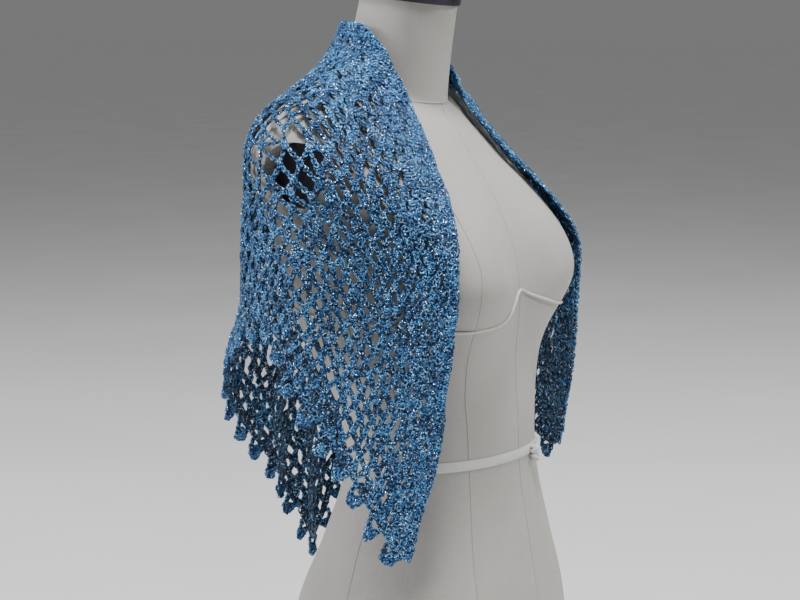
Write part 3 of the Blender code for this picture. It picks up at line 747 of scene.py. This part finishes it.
def build_torso(made):
    """The linen form, with a round hollow cut into each armhole for its plate."""
    heights = np.concatenate([FOOT_RINGS, np.arange(FOOT_ROUND, NECK_TOP, FORM_STEP), [NECK_TOP]])
    angles = np.arange(FORM_RING) * TURN / FORM_RING
    grid_angle, grid_height = np.meshgrid(angles, heights)
    x, y = form_point(grid_angle, grid_height)
    points = tilt_neck(np.stack([x, y, grid_height], -1))
    low = np.clip(1 - grid_height / FOOT_ROUND, 0, 1)
    points[..., :2] *= (1 - FOOT_INSET * (1 - np.sqrt(1 - low**2)))[..., None]
    faces, corners = grid_faces(len(heights), FORM_RING)
    around = corners[..., 1] * TURN / FORM_RING * FORM_RADIUS_FOR_UV
    uv = np.stack([around, heights[corners[..., 0]]], -1)
    faces = with_ends(faces, len(heights), FORM_RING)
    caps = points.reshape(-1, 3)[np.array(faces[-2] + faces[-1])][:, :2]
    uv = np.vstack([uv.reshape(-1, 2), caps])
    torso = add_mesh("torso_linen", points.reshape(-1, 3), faces, uv, made)
    turn = np.arange(CUTTER_SIDES) * TURN / CUTTER_SIDES
    ring = np.stack([np.cos(turn), np.sin(turn)], -1) * ARMHOLE_RADIUS
    walls, _ = grid_faces(2, CUTTER_SIDES)
    walls = with_ends(walls, 2, CUTTER_SIDES)
    cutters = []
    for side in (-1, 1):
        ends = [side * ARMHOLE_FLOOR_X, side * (ARMHOLE_FLOOR_X + CUTTER_DEPTH)]
        corners = [(x, ARMHOLE_Y + u, ARMHOLE_Z + v) for x in sorted(ends) for u, v in ring]
        mesh = bpy.data.meshes.new("armhole_cutter")
        mesh.from_pydata(corners, [], walls)
        cutters.append(add_object("armhole_cutter", mesh))
        cut = torso.modifiers.new("armhole", "BOOLEAN")
        cut.operation = "DIFFERENCE"
        cut.solver = "EXACT"
        cut.object = cutters[-1]
    graph = bpy.context.evaluated_depsgraph_get()
    cut_mesh = bpy.data.meshes.new_from_object(torso.evaluated_get(graph))
    torso.modifiers.clear()
    torso.data = cut_mesh
    for cutter in cutters:
        bpy.data.objects.remove(cutter, do_unlink=True)
    torso.data.shade_smooth()
    torso.data.set_sharp_from_angle(angle=SHARP_EDGE)
    return torso


def build_form_details(linen, tape_linen, cord_white):
    """Seams, the cord under the bust and the waist tape with its knot."""
    pieces = []

    def seam(name, side, top, line):
        heights = np.linspace(SEAM_FOOT, top, SEAM_POINTS)
        angles = side * np.interp(heights, *np.transpose(line))
        path = form_skin(angles, heights, (SEAM_SINK - SEAM_RADIUS) / 2)
        pieces.append(tube(name, path, SEAM_RADIUS, SEAM_SIDES, linen, reference=(0, 1, 0.2)))

    for name, side in (("right", 1), ("left", -1)):
        for part, top, line in SIDE_SEAMS:
            seam(f"seam_{part}_{name}", side, top, line)
    for part, top, line in MIDDLE_SEAMS:
        seam(f"seam_{part}", 1, top, line)
    ring = np.arange(0, 360, 3.0)
    neck = form_skin(ring, NECK_SEAM_Z + NECK_SEAM_RISE * np.cos(np.radians(ring + 180)))
    pieces.append(tube("seam_neck", neck, SEAM_RADIUS, SEAM_SIDES, linen, closed=True))

    ring = np.arange(-180, 180, 1.5)
    heights = np.interp(ring, *np.transpose(BUST_CORD))
    kernel = np.array([1, 2, 3, 2, 1]) / 9
    heights = np.convolve(np.concatenate([heights[-2:], heights, heights[:2]]), kernel, "valid")
    path = form_skin(ring, heights, CORD_RADIUS * 0.6)
    pieces.append(tube("under_bust_cord", path, CORD_RADIUS, TRIM_SIDES, cord_white, closed=True))

    ring = np.arange(0, 360, 2.0)
    middle = TAPE_Z + TAPE_WAVE * np.cos(np.radians(ring + 40))
    rows = [
        form_skin(ring, middle + share * TAPE_WIDTH, out * TAPE_THICKNESS)
        for share, out in TAPE_PROFILE
    ]
    points = np.stack(rows, 1).reshape(-1, 3)
    faces, corners = grid_faces(len(ring), len(rows), True)
    uv = np.stack([corners[..., 0] * 0.0045, corners[..., 1] * 0.002], -1)[:, ::-1]
    pieces.append(add_mesh("waist_tape", points, faces[:, ::-1], uv.reshape(-1, 2), tape_linen))

    base = form_skin([KNOT_ANGLE], [KNOT_Z], 0.004)[0]
    side = unit(np.array([0.9, 0.45, 0.0]))
    front = unit(np.array([0.45, -0.9, 0.0]))
    t = np.linspace(0, TURN, 40, endpoint=False)
    knot = base + np.outer(0.0072 * np.cos(t) + 0.0022 * np.cos(2 * t), side)
    knot = knot + np.outer(0.0058 * np.sin(t), (0, 0, 1)) + np.outer(0.0022 * np.cos(3 * t), front)
    pieces.append(tube("waist_knot", knot, 0.0026, TRIM_SIDES, tape_linen, closed=True))
    s = np.linspace(0, 1, 14)
    width = 0.0022 * (1 - 0.25 * s)
    for k, (dx, dz, bend) in enumerate(TAPE_ENDS):
        wave = np.sin(s * math.pi) * bend * 0.006
        end = base + np.outer(s * dx, side) + np.outer(s * dz + wave, (0, 0, 1))
        end = end + np.outer(0.001 + 0.003 * np.sin(2.2 * s), front)
        pieces.append(tube(f"waist_tape_end_{k}", end, width, TRIM_SIDES, tape_linen))
    return pieces


# Shawl


def net_pitch(across, down):
    """Distance between neighbouring knots of a row."""
    open_share = 1 + SHOULDER_STRETCH * shoulder_share(across, down)
    close = 1 - EDGE_CLOSE * np.exp(-(((1 - np.abs(across)) / EDGE_CLOSE_REACH) ** 2))
    neck = np.exp(-((down / NECK_REACH) ** 2))
    return (PITCH * (1 - neck) + NECK_PITCH * neck) * open_share * close


def shoulder_place(across, down):
    """A place counted from the middle of a shoulder's stretched net, in its own sizes."""
    side = (np.abs(across) - SHOULDER_ACROSS) / SHOULDER_WIDTH
    return side, (down - SHOULDER_DOWN) / SHOULDER_DEPTH


def shoulder_share(across, down):
    """How far a place lies in the stretched net over a shoulder, from 0 to 1."""
    side, away = shoulder_place(across, down)
    return np.exp(-(side**2) - away**2)


def yarn_share(across, down, thinner=SHOULDER_THIN):
    """Local thickness of the yarn: thin where the net is stretched, thick low on the back."""
    first, full = LOW_BACK_DOWN
    low = np.clip((down - first) / (full - first), 0, 1)
    low = low * np.exp(-((across / LOW_BACK_ACROSS) ** 4))
    return 1 - thinner * shoulder_share(across, down) + LOW_BACK_THICK * low


def spread_rows(across, down):
    """Rows move apart where the net is stretched over a shoulder."""
    side, away = shoulder_place(across, down)
    return down + SHOULDER_SPREAD_DOWN * np.exp(-(side**2) - away**2 / 4) * np.tanh(away)


def row_height(down):
    neck = math.exp(-((down / NECK_REACH) ** 2))
    return ROW * (1 - neck) + NECK_ROW * neck


def net_rows(drape, rng):
    """Knots of the net: for each row the across and down values, in order."""
    rows = []
    samples = np.linspace(-1, 1, 801)
    down, number = 0.003, 0
    while down < drape.hem.max() + ROW:
        places = drape.point(samples, down)
        steps = np.linalg.norm(np.diff(places, axis=0), axis=1)
        middle = (samples[1:] + samples[:-1]) / 2
        weight = running(steps / net_pitch(middle, down))
        count = max(4, round(weight[-1]))
        if number % 2:
            marks = np.concatenate([[0], (np.arange(count) + 0.5), [count]]) / count
        else:
            marks = np.arange(count + 1) / count
        inner = slice(1, len(marks) - 1)
        even = 1 - 0.6 * shoulder_share(np.interp(marks * weight[-1], weight, samples), down)
        aside, lower = (even * rng.uniform(-NODE_WANDER, NODE_WANDER, len(marks)) for _ in range(2))
        marks[inner] += aside[inner] / count
        across = np.interp(marks * weight[-1], weight, samples)
        placed = spread_rows(across, down) + lower * row_height(down) * (number > 0)
        rows.append((across, np.maximum(placed, 0.002)))
        down += row_height(down)
        number += 1
    return rows


def net_strands(drape, rows, rng):
    """Chains from each knot to the two above it, where those are above the hem. A few are
    missed out, and a few lie between neighbours in a row."""
    found = []
    for (above, above_down), (below, below_down) in zip(rows, rows[1:]):
        right = np.clip(np.searchsorted(above, below), 1, len(above) - 1)
        for k in range(len(below)):
            tops = {right[k] - 1, right[k]}
            if k == 0:
                tops = {0, 1}
            elif k == len(below) - 1:
                tops = {len(above) - 1, len(above) - 2}
            for top in tops:
                start = (above[top], above_down[top])
                end = (below[k], below_down[k])
                inside = abs(start[0]) < 0.93 and shoulder_share(*start) < 0.15
                if start[1] > drape.hem_down(start[0]) or inside and rng.random() < MISSED_SHARE:
                    continue
                found.append((*start, *end))
        for k in range(len(below) - 1):
            if below_down[k] < drape.hem_down(below[k]) and rng.random() < LINK_SHARE:
                found.append((below[k], below_down[k], below[k + 1], below_down[k + 1]))
    return np.array(found)


def along_strands(strands, hang, at):
    """Across and down at shares of the strands' lengths; each strand hangs in an arch."""
    at = np.clip(at, 0, 1)
    swing = (1 - np.cos(at * math.pi / 2)) * hang + at * (1 - hang)
    drop = np.sin(at * math.pi / 2) * hang + at * (1 - hang)
    a0, d0, a1, d1 = strands.T
    return a0 + (a1 - a0) * swing, d0 + (d1 - d0) * drop


def lay_strands(drape, strands, hang):
    """Centres, directions and outward normals of the stitches along all strands, with their
    across values and sizes, and whether they lean to the right."""
    a0, d0, a1, d1 = strands.T
    length = np.linalg.norm(drape.point(a1, d1) - drape.point(a0, d0), axis=-1)
    count = np.maximum(2, np.round(length / STITCH)).astype(int)
    which = np.repeat(np.arange(len(strands)), count)
    first = running(count)
    t = (np.arange(len(which)) - first[which] + 0.5) / count[which]
    across, down = along_strands(strands[which], hang[which], t)
    ahead = along_strands(strands[which], hang[which], t + 0.06)
    back = along_strands(strands[which], hang[which], t - 0.06)
    centres = drape.point(across, down)
    along = drape.point(*ahead) - drape.point(*back)
    out = drape.normal(across, down)
    keep = down < drape.hem_down(across) - HEM_GAP
    centres = centres + out * CLOTH_MIDDLE
    found = (centres, along, out, across, yarn_share(across, down), (a1 > a0)[which])
    return [values[keep] for values in found]


def flat_cords(centres, out, half_width, half_depth=CORE_HALF_DEPTH):
    """Points, faces and UV of flat cords, one for each row of centres."""
    count, steps = centres.shape[:2]
    along = unit(np.gradient(centres, axis=1) + 1e-9)
    side = unit(np.cross(out, along))
    out = np.cross(along, side)
    thin = np.broadcast_to(half_width, (count, steps)).copy()
    thin[:, (0, -1)] *= 0.55
    turn = (np.arange(CORE_SIDES) + 0.5) * TURN / CORE_SIDES
    wide = (np.cos(turn) * thin[..., None])[..., None] * side[:, :, None]
    deep = (np.sin(turn) * half_depth)[:, None] * out[:, :, None]
    points = (centres[:, :, None] + wide + deep).reshape(-1, 3)
    faces, corners = grid_faces(steps, CORE_SIDES)
    index = (faces + (np.arange(count) * steps * CORE_SIDES)[:, None, None]).reshape(-1, 4)
    one = np.stack([corners[..., 0] * 2.0, corners[..., 1] / CORE_SIDES], -1)
    return points, index, np.broadcast_to(one, (count, *one.shape)).reshape(-1, 2)


def join_cords(name, parts, made):
    """One mesh from the points, faces and UV of several lots of cords."""
    starts = running([len(part[0]) for part in parts])
    points = np.concatenate([part[0] for part in parts])
    index = np.concatenate([part[1] + start for part, start in zip(parts, starts)])
    return add_mesh(name, points, index, np.concatenate([part[2] for part in parts]), made)


def net_cores(drape, strands, hang):
    """The chains' inner yarns: one flat cord inside each strand's stitches, a navy yarn whose extra
    darkness is painted shade inside the chain.
    """
    shares = np.linspace(0.02, 0.98, CORE_POINTS)
    count = len(strands)
    many = np.repeat(strands, CORE_POINTS, axis=0)
    hangs, at = np.repeat(hang, CORE_POINTS), np.tile(shares, count)
    across, down = along_strands(many, hangs, at)
    down = np.minimum(down, drape.hem_down(across) - 2 * HEM_GAP)
    out = drape.normal(across, down)
    centres = drape.point(across, down) + out * (CLOTH_MIDDLE - CORE_SINK)
    thin = CORE_HALF_WIDTH * yarn_share(across, down, 1.5 * SHOULDER_THIN)
    centres, out = (m.reshape(count, CORE_POINTS, 3) for m in (centres, out))
    return flat_cords(centres, out, thin.reshape(count, CORE_POINTS))


def knots(drape, rows, rng):
    """A stitch wrapped across each knot."""
    across = np.concatenate([row[0] for row in rows])
    down = np.concatenate([row[1] for row in rows])
    keep = (down < drape.hem_down(across)) & (np.abs(across) < 0.995)
    across, down = across[keep], down[keep]
    out = drape.normal(across, down)
    side = drape.point(across + 0.01, down) - drape.point(across - 0.01, down)
    tilt = rng.uniform(-0.6, 0.6, (len(across), 1))
    fall = np.cross(unit(side), out)
    along = unit(side) * np.cos(tilt) + fall * np.sin(tilt)
    size = yarn_share(across, down)
    return drape.point(across, down) + out * (CLOTH_MIDDLE + KNOT_LIFT), along, out, size


def knot_cores(centres, along, out, size, rng):
    """The yarn inside each knot, a small flat lump."""
    shares = np.array([-1.0, -0.4, 0.4, 1.0])
    reach = (KNOT_HALF_WIDTH * size)[:, None] * rng.uniform(0.8, 1.2, (len(centres), 1))
    path = centres - out * (KNOT_LIFT + CORE_SINK)
    path = path[:, None] + (shares * reach)[..., None] * unit(along)[:, None]
    width = reach * np.array([0.75, 0.95, 0.95, 0.75])
    return flat_cords(path, np.repeat(out[:, None], len(shares), 1), width)


class Line:
    """A line on the cloth, by its length."""

    def __init__(self, drape, across, down):
        self.points = drape.point(across, down)
        self.normals = drape.normal(across, down)
        self.marks = path_marks(self.points)
        self.length = self.marks[-1]

    def at(self, mark):
        return between(mark, self.marks, self.points)

    def frame(self, mark, reach=0.006):
        """Directions along the line, out of the cloth and beyond its edge."""
        along = unit(self.at(mark + reach) - self.at(mark - reach))
        out = square_to(between(mark, self.marks, self.normals), along)
        return along, out, np.cross(along, out)

    def beside(self, marks, beyond_by, out_by):
        """Places beyond the cloth's edge and out of it, with the directions there."""
        along, out, beyond = self.frame(marks)
        return self.at(marks) + beyond * beyond_by + out * out_by, along, out

    def core(self, count, beyond_by, half_width):
        """A flat cord beside the whole line, inside its stitches."""
        marks = np.linspace(0.001, self.length - 0.001, count)
        centres, _, out = self.beside(marks, beyond_by, CLOTH_MIDDLE - CORE_SINK)
        return flat_cords(centres[None], out[None], half_width)


def build_edge_band(drape, made, rng):
    """The long edge, two chains wide, with short stitches that tie them together."""
    right_tip, left_tip = drape.hem_down(1), drape.hem_down(-1)
    right, left = np.full(SIDE_POINTS, 1.0), np.full(SIDE_POINTS, -1.0)
    across = np.concatenate([right, np.linspace(1, -1, NECK_POINTS)[1:-1], left])
    rise = np.linspace(right_tip, BAND_TOP, SIDE_POINTS)
    fall = np.linspace(BAND_TOP, left_tip, SIDE_POINTS)
    down = np.concatenate([rise, np.full(NECK_POINTS - 2, BAND_TOP), fall])
    line = Line(drape, across, down)
    groups = []
    step = STITCH * 0.86
    for offset in BAND_CHAINS:
        marks = np.arange(step / 2, line.length, step)
        wave = 0.0005 * np.sin(marks / 0.0087 + offset * 900)
        groups.append(line.beside(marks, (offset + wave)[:, None], CLOTH_MIDDLE))
    marks = np.arange(0.002, line.length, STITCH)
    centres, along, out = line.beside(marks, 0.0036, CLOTH_MIDDLE + 0.0005)
    lean = rng.uniform(-0.5, 0.5, (len(marks), 1))
    groups.append((centres, np.cross(along, out) + along * lean, out))
    joined = [np.concatenate(part) for part in zip(*groups)]
    core = line.core(BAND_CORE_POINTS, BAND_CORE_BEYOND, BAND_CORE)
    return stitches("edge_band_yarn", *joined, made, rng, 0.92), core


def build_hem(drape, name, across, made, rng):
    """A chain along the hem, with loops hanging from it that end in thick clusters."""
    line = Line(drape, across, drape.hem_down(across))
    marks = np.arange(STITCH / 2, line.length, STITCH * 0.9)
    groups = [line.beside(marks, 0.0022, CLOTH_MIDDLE)]
    cords = [line.core(HEM_CORE_POINTS, HEM_CORE_BEYOND, CORE_HALF_WIDTH)]
    down = np.array([0, 0, -1.0])
    count = int(line.length / LOOP_PITCH)
    for centre in (np.arange(count) + 0.5) * line.length / count:
        centre += rng.uniform(-0.0015, 0.0015)
        along, out, beyond = line.frame(centre, LOOP_PITCH)
        way = unit(beyond + LOOP_DROOP * (down - out * (out @ down)))
        side = unit(along - way * (along @ way))
        width = LOOP_WIDTH * rng.uniform(0.80, 1.0)
        length = LOOP_LENGTH * rng.uniform(0.9, 1.1)
        root = line.at(centre) + way * LOOP_ROOT * 0.6 + out * CLOTH_MIDDLE

        def arc(turn, inset):
            half, deep = width / 2 - inset, length - inset
            spot = root + np.outer(-np.cos(turn) * half, side) + np.outer(np.sin(turn) * deep, way)
            ahead = np.outer(np.sin(turn) * half, side) + np.outer(np.cos(turn) * deep, way)
            return spot, unit(ahead), np.broadcast_to(out, spot.shape)

        groups.append(arc(math.pi * (np.arange(LOOP_STITCHES) + 0.5) / LOOP_STITCHES, 0.0024))
        spot, _, _ = arc(np.linspace(0.02, 0.98, 10) * math.pi, 0.0026)
        cords.append(flat_cords(spot[None], out, CORE_HALF_WIDTH))
        middle = root + way * (length - CLUSTER_RADIUS)
        turn = np.linspace(0, 1, CLUSTER_STITCHES) * 2.4 * TURN + rng.uniform(0, 6)
        reach = np.sqrt(np.linspace(0.02, 1, CLUSTER_STITCHES)) * (CLUSTER_RADIUS - 0.0016)
        spot = middle + np.outer(np.cos(turn) * reach, side) + np.outer(np.sin(turn) * reach, way)
        bulge = 0.0014 * (1 - (reach / CLUSTER_RADIUS) ** 2) + 0.0004
        lean = rng.uniform(-1.2, 1.2, CLUSTER_STITCHES)
        ahead = np.outer(np.cos(lean), way) + np.outer(np.sin(lean), side)
        faces = np.tile(out, (CLUSTER_STITCHES, 1))
        groups.append((spot + faces * bulge[:, None], ahead, faces))
        groups.append((spot - faces * bulge[:, None], ahead[::-1], faces))
        spread = np.linspace(-1, 1, 7)
        spot = middle + np.outer(spread * (CLUSTER_RADIUS - 0.0012), way)
        round_width = (CLUSTER_RADIUS - 0.0008) * np.sqrt(1 - 0.93 * spread**2)
        cords.append(flat_cords(spot[None], out, round_width, 0.0020))
    joined = [np.concatenate(part) for part in zip(*groups)]
    return stitches(name, *joined, made, rng), cords


def build_shawl(made, core_made_with_painted_shade):
    """The net in its four stretches, what ties it together, its band and its two hems."""
    rng = np.random.default_rng(SEED)
    drape = Drape()
    rows = net_rows(drape, rng)
    strands = net_strands(drape, rows, rng)
    hang = ARCH_HANG * rng.uniform(0.4, 1.3, len(strands))
    centres, along, out, across, size, leaning = lay_strands(drape, strands, hang)
    *tied, tied_size = knots(drape, rows, rng)
    nets = []
    ties = [stitches("net_knots_yarn", *tied, made, rng, 1.08 * tied_size)]
    # The cores and knot cores take the darker inner yarn, which is partly painted shade inside the
    # chains and knots
    ties.append(join_cords("net_cores_yarn", [net_cores(drape, strands, hang)], core_made_with_painted_shade))
    ties.append(join_cords("net_knot_cores_yarn", [knot_cores(*tied, tied_size, rng)], core_made_with_painted_shade))
    for name, first, last, solid, flat in SHEETS:
        inside = (across >= first) & (across < last)
        net, crossing = (
            stitches(title, centres[part], along[part], out[part], made, rng, size[part])
            for title, part in (
                (name, inside & ~leaning),
                (name.replace("_yarn", "_crossing_yarn"), inside & leaning),
            )
        )
        area = drape.area(first, last)
        nets.append(SimpleNamespace(net=net, crossing=crossing, area=area, solid=solid, flat=flat))
    band, band_core = build_edge_band(drape, made, rng)
    right, left = np.linspace(0.004, 0.999, 500), np.linspace(-0.999, -0.004, 500)
    hem_right, right_cords = build_hem(drape, "hem_right_yarn", right, made, rng)
    hem_left, left_cords = build_hem(drape, "hem_left_yarn", left, made, rng)
    cords = [band_core, *right_cords, *left_cords]
    # The band's and hems' cores and clusters take the same darker inner yarn, which is partly
    # painted shade
    ties.append(join_cords("edging_cores_yarn", cords, core_made_with_painted_shade))
    return nets, ties, band, hem_right, hem_left


def add_lamp(name, kind, place, **settings):
    data = bpy.data.lights.new(name, kind)
    for key, value in settings.items():
        setattr(data, key, value)
    aim(add_object(name, data), place, LIGHT_TARGET)


def aim(thing, place, target):
    thing.location = place
    way = Vector(target) - Vector(place)
    thing.rotation_euler = way.to_track_quat("-Z", "Y").to_euler()


def build_stage():
    """A pale floor, a pale sky and four lamps."""
    r = FLOOR_REACH
    corners = [(-r, -r, 0), (r, -r, 0), (r, r, 0), (-r, r, 0)]
    uv = [(0, 0), (12, 0), (12, 12), (0, 12)]
    add_mesh("floor", corners, [(0, 1, 2, 3)], uv, floor_material())
    world = bpy.data.worlds.new("studio")
    world.use_nodes = True
    tree = world.node_tree
    towards = node(tree, "TexCoord").outputs["Generated"]
    up = axes(tree, towards)[2]
    background = tree.nodes["Background"]
    tree.links.new(ramp(tree, up, SKY_TONES), background.inputs["Color"])
    background.inputs["Strength"].default_value = SKY_STRENGTH
    bpy.context.scene.world = world
    for name, place, size, power, colour in DISC_LIGHTS:
        add_lamp(name, "AREA", place, shape="DISK", size=size, energy=power, color=colour)
    add_lamp("overhead", "SUN", SUN_PLACE, energy=SUN_ENERGY, angle=SUN_ANGLE)


def floor_material():
    made, tree, shader, spot, _ = new_material("floor", {"Roughness": 0.9})
    connect(shader, Base_Color=ramp(tree, noise(tree, spot, 3.0), FLOOR_TONES))
    return made


def build_camera():
    data = bpy.data.cameras.new("camera")
    data.lens = CAMERA_LENS
    data.sensor_width = SENSOR_WIDTH
    camera = add_object("camera", data)
    aim(camera, CAMERA_PLACE, CAMERA_TARGET)
    bpy.context.scene.camera = camera


def main():
    build_camera()
    build_stage()
    linen = linen_material("linen_cloth", *LINEN)
    seam_linen = linen_material("linen_seam", *SEAM_LINEN)
    tape_linen = linen_material("cotton_tape", *TAPE_COTTON)
    cord_white = linen_material("cotton_cord", *CORD_COTTON)
    metal = metal_material("dark_metal_satin", DARK_METAL)
    yarn = yarn_material("blue_metallic_yarn", YARN_TONES)
    # The inner yarn is a navy yarn made darker than the stitches, as painted shade inside the
    # chains
    core_yarn_with_painted_shade = yarn_material("inner_yarn_with_painted_shade", CORE_AND_PAINTED_SHADE_TONES)

    torso = build_torso(linen)
    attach(torso, "root")
    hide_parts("torso")
    for piece in build_form_details(seam_linen, tape_linen, cord_white):
        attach(piece, "root")
    for name in ("neck_cap", "armhole_plate_right", "armhole_plate_left"):
        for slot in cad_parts[name].material_slots:
            slot.material = metal

    nets, ties, band, hem_right, hem_left = build_shawl(yarn, core_yarn_with_painted_shade)
    for piece in ties + [row.crossing for row in nets]:
        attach(piece, "root")
    solids = [(row.net, row.solid) for row in nets]
    solids += [(band, "edge_band"), (hem_right, "hem_edging_right"), (hem_left, "hem_edging_left")]
    for piece, solid in solids:
        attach(piece, "root")
        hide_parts(solid)


main()
